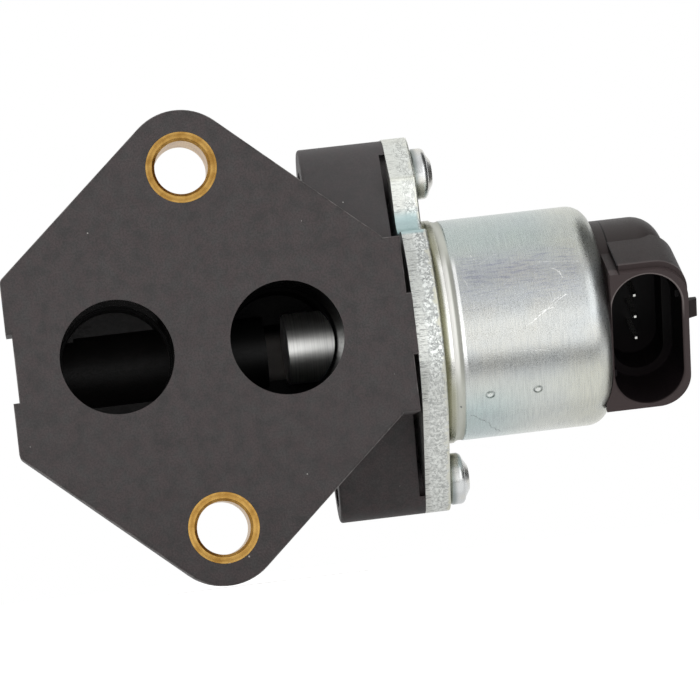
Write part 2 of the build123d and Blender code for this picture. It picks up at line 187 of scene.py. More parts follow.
def empty_tree(block):
    """The cleared node tree of a world or a material."""
    block.use_nodes = True
    block.node_tree.nodes.clear()
    return block.node_tree


def seen_directly(tree, *kinds):
    """1 for rays of the named kinds, else 0."""
    path = add(tree, "ShaderNodeLightPath")
    mask = path.outputs[kinds[0]]
    for kind in kinds[1:]:
        mask = maths(tree, "MAXIMUM", mask, path.outputs[kind])
    return mask


world = bpy.data.worlds.new("white_tent")
bpy.context.scene.world = world
tree = empty_tree(world)
lit = add(tree, "ShaderNodeBackground", {"Color": (1.0, 0.99, 0.985, 1.0), "Strength": ambient_light})
seen = add(tree, "ShaderNodeBackground", {"Color": (1.0, 1.0, 1.0, 1.0), "Strength": 1.0})
mask = seen_directly(tree, "Is Camera Ray", "Is Glossy Ray", "Is Transmission Ray")
both = add(tree, "ShaderNodeMixShader", {0: mask, 1: lit.outputs[0], 2: seen.outputs[0]})
add(tree, "ShaderNodeOutputWorld", {"Surface": both.outputs[0]})

floor_paint = bpy.data.materials.new("white_floor")
tree = empty_tree(floor_paint)
matt = add(tree, "ShaderNodeBsdfDiffuse", {"Color": shown(238, 238, 238)})
glow_level = times(tree, seen_directly(tree, "Is Camera Ray"), floor_glow)
glow = add(tree, "ShaderNodeEmission", {"Strength": glow_level})
lit = add(tree, "ShaderNodeAddShader", {0: matt.outputs[0], 1: glow.outputs[0]})
white = add(tree, "ShaderNodeEmission", {"Strength": 1.0})
mask = seen_directly(tree, "Is Glossy Ray", "Is Transmission Ray")
both = add(tree, "ShaderNodeMixShader", {0: mask, 1: lit.outputs[0], 2: white.outputs[0]})
add(tree, "ShaderNodeOutputMaterial", {"Surface": both.outputs[0]})

floor_height = cad_box[0][2] - floor_gap
signs = ((-1, -1), (1, -1), (1, 1), (-1, 1))
corners = [(x * floor_reach, y * floor_reach, floor_height) for x, y in signs]
floor_mesh = bpy.data.meshes.new("floor")
floor_mesh.from_pydata(corners, [], [(0, 1, 2, 3)])
floor_mesh.materials.append(floor_paint)
floor = link_object(bpy.data.objects.new("floor", floor_mesh))
print("floor lies at z =", round(floor_height, 4))

# %% [markdown]
# ## Soft boxes
# Large lamps give broad, soft light. Each one is described by how bright its face looks, and its power
# follows from that and from its area, so a lamp can be resized and still look as bright in the metal.
# The top box lights the part but is kept out of reflections, where it would bleach the can.

# %% Lamps
lamps = {
    "top_box": ((0.02, -0.10, 0.60), (0.02, 0.01, 0.0), (0.80, 0.60), 0.30, False),
    "front_left_box": ((-0.45, -0.60, 0.25), (0.0, 0.0, 0.0), (0.22, 0.60), 0.80, True),
    "front_right_box": ((0.50, -0.50, 0.06), (0.05, 0.01, 0.0), (0.16, 0.50), 0.80, True),
}
for name, (place, target, (width, height), brightness, mirrored) in lamps.items():
    lamp = bpy.data.lights.new(name, "AREA")
    lamp.shape = "RECTANGLE"
    lamp.size = width
    lamp.size_y = height
    lamp.energy = brightness * math.pi * width * height
    holder = link_object(bpy.data.objects.new(name, lamp))
    holder.location = place
    holder.rotation_euler = (Vector(target) - Vector(place)).to_track_quat("-Z", "Y").to_euler()
    holder.visible_camera = False
    holder.visible_glossy = mirrored
print("lamps:", ", ".join(lamps))

# %% [markdown]
# ## Cards for the metal
# Bare metal shows what stands around it, so a photographer shapes it with cards. A bright sheet in front
# makes the light band along the can, and grey ones above and below give the darker bands beside it. On
# the right, a black card darkens the folded end and a bright one lights its edge. Two small dark ones
# draw a line across the screw heads. Each card is a corner, two edges and a brightness. It is hidden
# from the camera and casts no light and no shadow, so it only shows in reflections.

# %% Cards
sheet_height = floor_height + 0.0003
cards = {
    "bright_sheet": ((-0.5, -0.036, sheet_height), (1.1, 0, 0), (0, -0.464, 0), 1.5),
    "bright_wall": ((-0.5, -0.5, sheet_height), (1.1, 0, 0), (0, 0, 0.077), 1.5),
    "grey_strip": ((-0.5, -0.013, sheet_height), (1.1, 0, 0), (0, -0.018, 0), 0.42),
    "back_strip": ((-0.5, 0.014, sheet_height), (1.1, 0, 0), (0, 0.034, 0), 0.84),
    "grey_card": ((-0.5, -0.36, 0.185), (1.1, 0, 0), (0, 0.16, 0.175), 0.82),
    "black_card": ((0.14, -0.06, -0.028), (0, 0.18, 0), (0, 0, 0.326), 0.05),
    "right_glow": ((0.15, -0.29, -0.028), (0.22, 0, 0), (0, 0, 0.27), 1.9),
    "upper_slip": ((0.038, -0.08, 0.0195), (0.016, 0, 0), (0, 0, 0.008), 0.08),
    "lower_slip": ((0.038, -0.08, -0.0245), (0.016, 0, 0), (0, 0, 0.008), 0.08),
}
for name, (corner, first_edge, second_edge, level) in cards.items():
    paper = bpy.data.materials.new(name)
    tree = empty_tree(paper)
    face = add(tree, "ShaderNodeEmission", {"Strength": level})
    add(tree, "ShaderNodeOutputMaterial", {"Surface": face.outputs[0]})
    start, run, rise = Vector(corner), Vector(first_edge), Vector(second_edge)
    card_mesh = bpy.data.meshes.new(name)
    card_mesh.from_pydata([start, start + run, start + run + rise, start + rise], [], [(0, 1, 2, 3)])
    card_mesh.materials.append(paper)
    card = link_object(bpy.data.objects.new(name, card_mesh))
    for kind in ("camera", "diffuse", "transmission", "volume_scatter", "shadow"):
        setattr(card, "visible_" + kind, False)
print("cards:", ", ".join(cards))

# %% [markdown]
# ## Where things are, in millimetres
# Patterns are easier to judge in millimetres. Each CAD piece sits at the origin with its place in its
# mesh, so Object coordinates are the real coordinates of the valve, and one scale turns them into
# millimetres.

# %% Positions for patterns
MM = 1000.0
solenoid_y = 20.4
solenoid_z = -0.5
port_x = 11.2
port_radius = 7.5
bush_z = 23.75


def place_in_mm(tree):
    """Object coordinates in millimetres, whole and split into x, y and z."""
    spot = add(tree, "ShaderNodeTexCoord").outputs["Object"]
    whole = add(tree, "ShaderNodeVectorMath", {0: spot, "Scale": MM}, operation="SCALE").outputs[0]
    parts = add(tree, "ShaderNodeSeparateXYZ", {0: whole}).outputs
    return whole, parts[0], parts[1], parts[2]


def distance(tree, first, first_middle, second, second_middle):
    """Distance from a line that is seen end on, from two coordinates."""
    across = minus(tree, first, first_middle)
    along = minus(tree, second, second_middle)
    square = plus(tree, times(tree, across, across), times(tree, along, along))
    return maths(tree, "SQRT", square)


def new_group(name, inputs, outputs):
    """An empty shader node group with named sockets."""
    tree = bpy.data.node_groups.new(name, "ShaderNodeTree")
    for socket, value in inputs.items():
        made = tree.interface.new_socket(socket, in_out="INPUT", socket_type="NodeSocketFloat")
        made.default_value = value
    for socket in outputs:
        tree.interface.new_socket(socket, in_out="OUTPUT", socket_type="NodeSocketFloat")
    return tree, tree.nodes.new("NodeGroupInput").outputs, tree.nodes.new("NodeGroupOutput").inputs


def noise(tree, vector, scale, detail=2.0, roughness=0.5):
    """Noise value, about 0.3 to 0.7 over most of a surface."""
    ends = {"Vector": vector, "Scale": scale, "Detail": detail, "Roughness": roughness}
    return add(tree, "ShaderNodeTexNoise", ends).outputs[0]


# %% [markdown]
# ## A group for moulded plastic
# Glass-filled plastic is never one flat colour: it has soft clouds, a fine grain that catches light, and
# a few pale specks of dust or bare glass. One group gives all three as masks, and each plastic sets its
# own sizes.

# %% Moulding group
warmth_offset = (31.0, 17.0, 5.0)
speck_threshold = 0.55


def shifted(tree, vector, offset):
    """Coordinates moved aside, so that a second pattern doesn't follow the first."""
    return add(tree, "ShaderNodeVectorMath", {0: vector, 1: offset}, operation="ADD").outputs[0]


mottle, given, result = new_group(
    "moulding mottle",
    {"Cloud Size": 6.0, "Grain Size": 0.25, "Speck Spacing": 2.4, "Speck Size": 0.06},
    ("Clouds", "Grain", "Specks", "Warmth"),
)
spot = place_in_mm(mottle)[0]
cloud_scale = maths(mottle, "DIVIDE", 1.0, given["Cloud Size"])
clouds = noise(mottle, spot, cloud_scale, 4.0, 0.62)
mottle.links.new(ease(mottle, clouds, 0.32, 0.68), result["Clouds"])
grain = noise(mottle, spot, maths(mottle, "DIVIDE", 1.0, given["Grain Size"]), 2.0, 0.6)
mottle.links.new(grain, result["Grain"])
warmth_scale = times(mottle, cloud_scale, 1.7)
warmth = noise(mottle, shifted(mottle, spot, warmth_offset), warmth_scale, 3.0, 0.6)
mottle.links.new(ease(mottle, warmth, 0.35, 0.65), result["Warmth"])
speck_scale = maths(mottle, "DIVIDE", 1.0, given["Speck Spacing"])
specked = add(mottle, "ShaderNodeTexVoronoi", {"Vector": spot, "Scale": speck_scale}).outputs
lone = add(mottle, "ShaderNodeSeparateColor", {0: specked["Color"]}).outputs[0]
reach = maths(mottle, "DIVIDE", given["Speck Size"], given["Speck Spacing"])
near = maths(mottle, "LESS_THAN", specked["Distance"], times(mottle, reach, lone))
specks = times(mottle, near, maths(mottle, "GREATER_THAN", lone, speck_threshold))
mottle.links.new(specks, result["Specks"])
print("group:", mottle.name)

# %% [markdown]
# ## A group for turning marks
# A lathe leaves fine rings. Seen along the axis they depend on the radius, and along the side on the
# length, so the group only asks for that one distance and gives lines that vary with it.

# %% Turning group
band_rate = 0.14


def lines_along(tree, length, scale, detail):
    """Noise that varies with one length alone."""
    ends = {"W": length, "Scale": scale, "Detail": detail}
    return add(tree, "ShaderNodeTexNoise", ends, noise_dimensions="1D").outputs[0]


turning, given, result = new_group("turning marks", {"Distance": 0.0, "Pitch": 0.12}, ("Lines", "Bands"))
rate = maths(turning, "DIVIDE", 1.0, given["Pitch"])
turning.links.new(lines_along(turning, given["Distance"], rate, 2.0), result["Lines"])
slow = times(turning, rate, band_rate)
turning.links.new(lines_along(turning, given["Distance"], slow, 1.0), result["Bands"])
print("group:", turning.name)

# %% [markdown]
# ## A group for zinc plating
# Bright zinc with a clear passivation has a fine sparkle, faint lines around the drawn can, and slow
# tints that drift between blue-green and cream.

# %% Zinc group
stain_offset = (7.0, 41.0, 13.0)
line_rate = 0.35


def stretched(tree, x, y, z, along, across):
    """Coordinates scaled by one amount along the solenoid and by another across it."""
    scaled = {0: times(tree, x, along), 1: times(tree, y, across), 2: times(tree, z, across)}
    return add(tree, "ShaderNodeCombineXYZ", scaled).outputs[0]


zinc, given, result = new_group(
    "zinc plating",
    {"Sparkle Size": 0.22, "Line Width": 0.10, "Tint Size": 9.0},
    ("Sparkle", "Lines", "Tint", "Stain"),
)
spot, x, y, z = place_in_mm(zinc)
sparkle = noise(zinc, spot, maths(zinc, "DIVIDE", 1.0, given["Sparkle Size"]), 3.0, 0.65)
zinc.links.new(sparkle, result["Sparkle"])
narrow = maths(zinc, "DIVIDE", 1.0, given["Line Width"])
drawn = stretched(zinc, x, y, z, narrow, line_rate)
zinc.links.new(noise(zinc, drawn, 1.0, 2.0, 0.5), result["Lines"])
slow = maths(zinc, "DIVIDE", 1.0, given["Tint Size"])
zinc.links.new(ease(zinc, noise(zinc, spot, slow, 2.0, 0.5), 0.35, 0.65), result["Tint"])
stain = noise(zinc, shifted(zinc, spot, stain_offset), slow, 4.0, 0.65)
zinc.links.new(ease(zinc, stain, 0.4, 0.7), result["Stain"])
print("group:", zinc.name)


# %% [markdown]
# ## Materials
# Every finish starts from a Principled shader. Numbers that are the same all over are set on the
# shader's own sockets; only what changes over the surface is linked.

# %% Start of a finish
def new_finish(name, metallic=0.0, roughness=0.5, **sockets):
    """A material, its tree and its shader."""
    material = bpy.data.materials.new(name)
    material.use_nodes = True
    shader = material.node_tree.nodes["Principled BSDF"]
    shader.inputs["Metallic"].default_value = metallic
    shader.inputs["Roughness"].default_value = roughness
    for socket, value in sockets.items():
        shader.inputs[socket.replace("_", " ")].default_value = value
    return material, material.node_tree, shader


def use_group(tree, group, **values):
    """Places a shared group and sets its inputs."""
    inputs = {key.replace("_", " "): value for key, value in values.items()}
    return add(tree, "ShaderNodeGroup", inputs, node_tree=group).outputs


def paint(tree, shader, colour, roughness):
    """Links the colour and roughness that change over the surface."""
    tree.links.new(colour, shader.inputs["Base Color"])
    tree.links.new(roughness, shader.inputs["Roughness"])


def raise_surface(tree, shader, height, depth_mm, strength=1.0):
    """Fine relief that is too small to model."""
    ends = {"Height": height, "Distance": depth_mm / MM, "Strength": strength}
    bump = add(tree, "ShaderNodeBump", ends)
    tree.links.new(bump.outputs[0], shader.inputs["Normal"])


def dress(material, *names):
    """Puts a finish on CAD pieces."""
    for name in names:
        nodes[name].material_slots[0].material = material
    print(material.name, "on", ", ".join(names))


# %% [markdown]
# ## The valve body
# One black moulding. Outside it is dull and slightly warm, with a cloudy grain. The walls of the ports
# and of the spool bore keep the blacker, smoother skin of the mould, darkened further by painted shade,
# most in the valve port. Distances from the port axes and from the solenoid axis tell these places
# apart.

# %% Body: outside
rim_depths = (0.03, 0.12, 0.3, 0.5)
body_paint, tree, shader = new_finish("body_moulding")
x, y, z = place_in_mm(tree)[1:]
marks = use_group(tree, mottle, Cloud_Size=2.6, Grain_Size=0.24, Speck_Spacing=3.2, Speck_Size=0.13)
dull = blend(tree, marks["Clouds"], shown(61, 58, 58), shown(73, 70, 70))
dull = blend(tree, times(tree, marks["Warmth"], 0.6), dull, shown(80, 68, 69))
pits = blend(tree, 0.45, dull, shown(30, 28, 28))
dull = blend(tree, ease(tree, marks["Grain"], 0.36, 0.64), pits, dull)
# Pale patches along the front rim: partly wear, partly a painted edge highlight.
patchy = ease(tree, marks["Clouds"], 0.3, 0.8, 0.15, 0.6)
rim_wear_and_highlight = times(tree, band(tree, y, *rim_depths), patchy)
dull = blend(tree, rim_wear_and_highlight, dull, shown(128, 124, 122))
# The upper boss is painted lighter: painted light from above, not a colour of its own.
boss_painted_light = times(tree, ease(tree, z, 9.0, 13.0), ease(tree, y, 3.0, 6.0))
dull = blend(tree, times(tree, boss_painted_light, 0.5), dull, shown(93, 91, 92))

# %% Body: ports and bore
bore_radius = 4.9
spigot_depth = 15.0
left_floor = 21.0
right_floor = 23.5
trough_span = (8.9, 9.4, 11.7, 12.2)
trough_heights = (-5.0, -3.0, 0.6, 2.6)
from_axis = distance(tree, y, solenoid_y, z, solenoid_z)
bore = ease(tree, from_axis, bore_radius + 0.06, bore_radius + 0.02)


def in_port(middle, floor):
    """1 on the wall and floor of a port, and on the bore that crosses it."""
    radius = distance(tree, x, middle, z, 0.0)
    hole = ease(tree, radius, port_radius + 0.12, port_radius + 0.02)
    open_side = maths(tree, "MAXIMUM", bore, ease(tree, y, floor + 0.8, floor + 0.4))
    return times(tree, hole, times(tree, ease(tree, y, 0.05, 0.5), open_side))


left_port = in_port(-port_x, left_floor)
right_port = in_port(port_x, right_floor)
inside = maths(tree, "MAXIMUM", left_port, right_port)
# Inside the ports the colour is painted shade: darker skin on the left, near black in the valve port.
left_skin_and_shade = blend(tree, marks["Clouds"], shown(24, 22, 22), shown(33, 30, 30))
port_painted_shade = shown(8, 8, 8)
colour = blend(tree, left_port, dull, left_skin_and_shade)
colour = blend(tree, right_port, colour, port_painted_shade)
# The step ring inside the ports is painted near black as shade.
from_step = maths(tree, "ABSOLUTE", minus(tree, y, spigot_depth))
step = times(tree, maths(tree, "LESS_THAN", from_step, 0.12), inside)
colour = blend(tree, step, colour, port_painted_shade)
# A pale patch on the bore floor beside the spool is a painted highlight.
bore_painted_highlight = times(tree, band(tree, x, *trough_span), band(tree, z, *trough_heights))
colour = blend(tree, times(tree, bore, bore_painted_highlight), colour, shown(142, 138, 136))
colour = blend(tree, times(tree, marks["Specks"], 0.8), colour, shown(196, 194, 190))

# %% Body: shine
wall = times(tree, inside, ease(tree, y, spigot_depth - 0.1, spigot_depth - 0.5))
rough = ease(tree, marks["Grain"], 0.3, 0.7, 0.52, 0.66)
rough = plus(tree, rough, times(tree, inside, -0.06))
paint(tree, shader, colour, plus(tree, rough, times(tree, wall, -0.38)))
shine = ease(tree, right_port, 0.0, 1.0, 0.32, 0.08)
shine = times(tree, shine, ease(tree, step, 0.0, 1.0, 1.0, 0.3))
tree.links.new(shine, shader.inputs["Specular IOR Level"])
grain = times(tree, marks["Grain"], minus(tree, 1.0, times(tree, wall, 0.9)))
raise_surface(tree, shader, grain, 0.06, 0.5)
dress(body_paint, "valve_body")

# %% [markdown]
# ## The connector moulding
# The same family of plastic, but from a polished mould: darker, browner and a little shiny. Inside the
# socket it is painted nearly black, as shade. The socket is a long slot, so the distance to its middle
# line, measured square to the way it points, tells inside from outside.

# %% Connector: where the socket is
socket_x = 59.83
socket_offset = 1.3
socket_half_run = 4.85
socket_half_width = 4.75
socket_reach = 12.45
socket_floor = -1.0
cap_end = 64.5
tilt_sine = math.sin(math.radians(29.0))
tilt_cosine = math.cos(math.radians(29.0))
connector_paint, tree, shader = new_finish("connector_moulding", Specular_IOR_Level=0.13)
x, y, z = place_in_mm(tree)[1:]
away = minus(tree, y, solenoid_y)
rise = minus(tree, z, solenoid_z)
up_socket = plus(tree, times(tree, away, -tilt_sine), times(tree, rise, tilt_cosine))
out_socket = plus(tree, times(tree, away, -tilt_cosine), times(tree, rise, -tilt_sine))
from_middle = maths(tree, "ABSOLUTE", minus(tree, up_socket, socket_offset))
past_run = maths(tree, "MAXIMUM", minus(tree, from_middle, socket_half_run), 0.0)
slot_distance = distance(tree, x, socket_x, past_run, 0.0)
in_slot = ease(tree, slot_distance, socket_half_width + 0.1, socket_half_width + 0.02)
socket_depths = (socket_floor - 0.5, socket_floor - 0.2, socket_reach - 0.7, socket_reach)
before_end = ease(tree, x, cap_end - 0.1, cap_end - 0.3)
off_cap = maths(tree, "MAXIMUM", ease(tree, out_socket, -0.2, 0.2), before_end)
inside = times(tree, times(tree, in_slot, band(tree, out_socket, *socket_depths)), off_cap)

# %% Connector: colours
lip_distances = (4.77, 4.83, 4.95, 5.05)
slit_span = (56.1, 56.18, 56.3, 56.4)
marks = use_group(tree, mottle, Cloud_Size=3.0, Grain_Size=0.2, Speck_Spacing=3.6, Speck_Size=0.1)
colour = blend(tree, marks["Clouds"], shown(39, 33, 32), shown(47, 41, 40))
colour = blend(tree, times(tree, marks["Warmth"], 0.5), colour, shown(51, 40, 40))
# The top of the cap is painted lighter: painted light from above.
cap_top_painted_light = ease(tree, z, 5.0, 9.5, 0.0, 0.8)
colour = blend(tree, cap_top_painted_light, colour, shown(60, 55, 54))
# The socket's front face is painted lighter: painted light on the front face.
front_face_painted_light = ease(tree, out_socket, 10.6, 11.2)
colour = blend(tree, times(tree, front_face_painted_light, 0.8), colour, shown(80, 70, 70))
# A pale line on the upper lip of the socket is a painted highlight.
lip_painted_highlight = times(tree, band(tree, slot_distance, *lip_distances), ease(tree, out_socket, 12.1, 12.3))
lip_painted_highlight = times(tree, lip_painted_highlight, ease(tree, up_socket, 3.0, 7.0, 0.0, 0.7))
colour = blend(tree, lip_painted_highlight, colour, shown(150, 142, 140))
# A dark line beside the crown is a painted shadow.
slit_painted_shadow = times(tree, band(tree, x, *slit_span), ease(tree, up_socket, 11.2, 11.5))
colour = blend(tree, times(tree, slit_painted_shadow, 0.9), colour, shown(12, 9, 9))
colour = blend(tree, times(tree, marks["Specks"], 0.5), colour, shown(150, 148, 145))
# The inside of the socket is painted near black as shade.
socket_painted_shade = blend(tree, ease(tree, up_socket, -2.0, -7.0), shown(11, 8, 9), shown(30, 24, 26))
colour = blend(tree, inside, colour, socket_painted_shade)
paint(tree, shader, colour, ease(tree, marks["Grain"], 0.3, 0.7, 0.38, 0.5))
raise_surface(tree, shader, marks["Grain"], 0.03, 0.4)
dress(connector_paint, "connector_housing")

# %% [markdown]
# ## Brass bushes
# The two bushes are cut from brass bar and faced on a lathe, so the front shows fine rings about each
# bolt hole. The distance from the nearer hole drives the rings.

# %% Brass
brass, tree, shader = new_finish("turned_brass", metallic=1.0)
spot, x, _, z = place_in_mm(tree)
height = maths(tree, "ABSOLUTE", z)
radius = distance(tree, x, 0.0, height, bush_z)
marks = use_group(tree, turning, Distance=radius, Pitch=0.09)
patches = noise(tree, spot, 0.55, 3.0, 0.6)
colour = blend(tree, ease(tree, patches, 0.35, 0.65), shown(160, 121, 60), shown(190, 151, 84))
colour = blend(tree, ease(tree, marks["Bands"], 0.4, 0.75, 0.0, 0.5), colour, shown(118, 82, 34))
paint(tree, shader, colour, ease(tree, marks["Lines"], 0.3, 0.7, 0.2, 0.34))
raise_surface(tree, shader, marks["Lines"], 0.02, 0.5)
dress(brass, "upper_bush", "lower_bush")

# %% [markdown]
# ## A group for scratches
# A scratch is a thin line between two points on the side of the can. The group measures how far a spot
# lies from that line, seen square on, and gives a mask that wanders, thins out towards the far end and
# breaks up a little. Noise alone can't put a scratch where the real one is.

# %% Scratch group
hairline, given, result = new_group(
    "hairline", {"X1": 0.0, "Z1": 0.0, "X2": 1.0, "Z2": 0.0, "Width": 0.1, "Taper": 0.6}, ("Mask",))
spot, x, y, z = place_in_mm(hairline)
run_x = minus(hairline, given["X2"], given["X1"])
run_z = minus(hairline, given["Z2"], given["Z1"])
from_x = minus(hairline, x, given["X1"])
wobble = times(hairline, minus(hairline, noise(hairline, spot, 1.3, 2.0, 0.6), 0.5), 0.7)
from_z = minus(hairline, plus(hairline, z, wobble), given["Z1"])
along = plus(hairline, times(hairline, from_x, run_x), times(hairline, from_z, run_z))
square = plus(hairline, times(hairline, run_x, run_x), times(hairline, run_z, run_z))
share = maths(hairline, "MAXIMUM", maths(hairline, "DIVIDE", along, square), 0.0)
share = maths(hairline, "MINIMUM", share, 1.0)
off_x = minus(hairline, from_x, times(hairline, share, run_x))
off_z = minus(hairline, from_z, times(hairline, share, run_z))
gap = distance(hairline, off_x, 0.0, off_z, 0.0)
thinner = minus(hairline, 1.0, times(hairline, share, given["Taper"]))
ragged = ease(hairline, noise(hairline, spot, 3.4, 3.0, 0.7), 0.36, 0.62, 0.15, 1.3)
width = times(hairline, given["Width"], times(hairline, thinner, ragged))
line = ease(hairline, maths(hairline, "DIVIDE", gap, width), 1.0, 0.35)
front = maths(hairline, "LESS_THAN", y, solenoid_y)
hairline.links.new(times(hairline, line, front), result["Mask"])
print("group:", hairline.name)

# %% [markdown]
# ## The drawn can
# Zinc-plated sheet, drawn into a cup. It carries faint lines around it, a fine sparkle and slow tints:
# blue-green at the top and at the lower foot, cream towards the far end. A band along the front is
# rubbed and speckled, and the folded end is a little matt. At the foot, the bead and the edge of the
# groove carry painted highlights, the groove painted shade, and the olive stain beside the plate is
# partly painted shade.

# %% Can: tints
can_paint, tree, shader = new_finish("can_plating")
spot, x, y, z = place_in_mm(tree)
marks = use_group(tree, zinc, Sparkle_Size=0.15, Line_Width=0.07, Tint_Size=7.0)
colour = blend(tree, marks["Tint"], shown(190, 193, 192), shown(197, 197, 191))
top = ease(tree, z, 5.5, 11.0)
colour = blend(tree, times(tree, top, 0.8), colour, shown(177, 191, 186))
low = ease(tree, z, -7.0, -9.5)
colour = blend(tree, times(tree, low, 0.7), colour, shown(212, 215, 207))
low_left = times(tree, ease(tree, z, -8.0, -12.5), ease(tree, x, 46.0, 36.0))
colour = blend(tree, times(tree, low_left, 0.75), colour, shown(174, 194, 194))
far_end = times(tree, ease(tree, x, 45.5, 51.5), ease(tree, maths(tree, "ABSOLUTE", z), 5.0, 9.0))
colour = blend(tree, times(tree, far_end, 0.7), colour, shown(203, 202, 187))
colour = blend(tree, times(tree, marks["Stain"], 0.3), colour, shown(178, 184, 188))

# %% Can: rubbed band
rubbed_span = (34.0, 36.0, 50.5, 52.2)
rubbed_heights = (-1.0, 4.2, 7.2, 9.4)
bruise_span = (35.5, 38.0, 43.0, 47.0)
bruise_heights = (4.4, 5.4, 6.6, 7.8)
front = maths(tree, "LESS_THAN", y, solenoid_y)
drag = noise(tree, stretched(tree, x, y, z, 0.45, 5.0), 1.0, 3.0, 0.7)
streaks = ease(tree, drag, 0.46, 0.66)
speckle = ease(tree, marks["Sparkle"], 0.5, 0.64)
rubbed = times(tree, band(tree, z, *rubbed_heights), band(tree, x, *rubbed_span))
rubbed = times(tree, rubbed, front)
wear = times(tree, rubbed, maths(tree, "MAXIMUM", times(tree, streaks, 0.75), speckle))
colour = blend(tree, times(tree, wear, 0.85), colour, shown(138, 142, 160))
bruise = times(tree, band(tree, x, *bruise_span), band(tree, z, *bruise_heights))
bruise = times(tree, times(tree, bruise, front), ease(tree, streaks, 0.0, 0.6, 0.1, 0.5))
colour = blend(tree, bruise, colour, shown(136, 137, 160))
flecks = times(tree, ease(tree, marks["Sparkle"], 0.63, 0.7), rubbed)
colour = blend(tree, times(tree, flecks, 0.8), colour, shown(240, 241, 242))
brushed = ease(tree, marks["Lines"], 0.42, 0.62)
colour = blend(tree, times(tree, brushed, 0.3), colour, shown(140, 145, 148))
grain = ease(tree, marks["Sparkle"], 0.44, 0.58)
colour = blend(tree, times(tree, grain, 0.2), colour, shown(236, 239, 240))

# %% Can: foot and fold
foot_span = (32.1, 32.45, 34.3, 34.6)
bead_span = (32.6, 33.0, 33.8, 34.1)
matt_span = (33.2, 33.4, 34.4, 34.6)
hem_span = (33.95, 34.15, 34.4, 34.6)
groove_edge_span = (34.5, 34.65, 34.95, 35.1)
foot_highlight_heights = (-10.0, -5.0, 6.8, 10.0)
groove_edge_heights = (-8.0, -5.5, 6.5, 9.0)
# Painted light on the foot: a paler band, painted highlights on the bead and the groove's edge, and
# painted shade in the groove.
foot_highlight_band = band(tree, z, *foot_highlight_heights)
colour = blend(tree, band(tree, x, *foot_span), colour, shown(208, 210, 201))
bead_painted_highlight = times(tree, band(tree, x, *bead_span), foot_highlight_band)
colour = blend(tree, bead_painted_highlight, colour, shown(253, 253, 248))
hem_painted_shade = times(tree, band(tree, x, *hem_span), foot_highlight_band)
colour = blend(tree, times(tree, hem_painted_shade, 0.7), colour, shown(150, 150, 144))
# The olive stain is partly real tint and partly painted shade, beside the plate and at the foot's top
# and bottom.
stain = times(tree, minus(tree, 1.0, foot_highlight_band), ease(tree, x, 33.7, 32.8, 0.0, 0.7))
stain = maths(tree, "MAXIMUM", stain, ease(tree, x, 33.0, 32.5, 0.0, 0.85))
colour = blend(tree, stain, colour, shown(128, 126, 98))
groove_edge_highlight = times(tree, band(tree, x, *groove_edge_span), band(tree, z, *groove_edge_heights))
colour = blend(tree, times(tree, groove_edge_highlight, 0.95), colour, shown(252, 253, 252))
matt_foot = band(tree, x, *matt_span)
fold = ease(tree, x, 52.2, 53.6)

# %% Can: punch marks
punch_x = (37.8, 44.25)
punch_z = -10.25
punch_lean = math.cos(math.radians(40.4))
groove_radii = (0.34, 0.46, 0.58, 0.74)
core_radii = (0.06, 0.14, 0.26, 0.36)
uneven = ease(tree, noise(tree, spot, 1.9, 2.0, 0.6), 0.4, 0.58, 0.25, 0.75)
up_side = maths(tree, "DIVIDE", minus(tree, z, punch_z), punch_lean)
# Each punch mark is a painted dark ring of shade around a painted highlight in its middle.
for middle in punch_x:
    away = distance(tree, x, middle, up_side, 0.0)
    punch_ring_shade = times(tree, band(tree, away, *groove_radii), front)
    colour = blend(tree, times(tree, punch_ring_shade, uneven), colour, shown(96, 102, 101))
    core = times(tree, band(tree, away, *core_radii), front)
    colour = blend(tree, times(tree, core, 0.5), colour, shown(244, 245, 242))

# %% Can: scratches
# Start, end, width, strength, and whether it is bright
scratches = [
    ((49.09, 1.75), (46.3, 0.05), 0.1, 0.8, True),
    ((46.6, 0.2), (43.37, -1.89), 0.1, 0.7, True),
    ((48.5, 1.75), (46.7, 0.8), 0.09, 0.7, True),
    ((47.2, 0.2), (45.2, -0.3), 0.08, 0.55, True),
    ((47.79, 5.48), (48.65, 4.9), 0.14, 0.85, True),
    ((48.65, 4.9), (49.0, 3.81), 0.14, 0.85, True),
    ((46.09, 6.53), (51.81, 5.98), 0.09, 0.45, True),
    ((46.12, -5.38), (41.97, -5.03), 0.09, 0.55, True),
    ((37.3, 8.6), (37.7, 7.8), 0.10, 0.6, True),
    ((38.2, 7.2), (41.0, 8.4), 0.07, 0.35, True),
    ((35.9, 5.2), (36.3, 4.1), 0.10, 0.5, True),
    ((35.14, -12.56), (37.65, -13.84), 0.08, 0.7, False),
    ((37.65, -13.84), (37.98, -14.38), 0.08, 0.7, False),
    ((37.98, -14.38), (39.80, -15.17), 0.08, 0.7, False),
    ((33.79, -11.38), (33.95, -11.5), 0.18, 0.8, False),
]
for (x1, z1), (x2, z2), width, strength, bright in scratches:
    mask = use_group(tree, hairline, X1=x1, Z1=z1, X2=x2, Z2=z2, Width=width)["Mask"]
    tone = shown(244, 245, 243) if bright else shown(92, 100, 98)
    colour = blend(tree, times(tree, mask, strength), colour, tone)

# %% Can: shine
rough = ease(tree, marks["Sparkle"], 0.3, 0.7, 0.21, 0.33)
softer = maths(tree, "MAXIMUM", times(tree, fold, 0.05), times(tree, matt_foot, 0.3))
paint(tree, shader, colour, plus(tree, rough, softer))
duller = maths(tree, "MAXIMUM", times(tree, fold, 0.12), times(tree, matt_foot, 0.65))
tree.links.new(minus(tree, 1.0, duller), shader.inputs["Metallic"])
relief = plus(tree, marks["Sparkle"], times(tree, marks["Lines"], 0.9))
raise_surface(tree, shader, relief, 0.02, 0.8)
dress(can_paint, "solenoid_can")

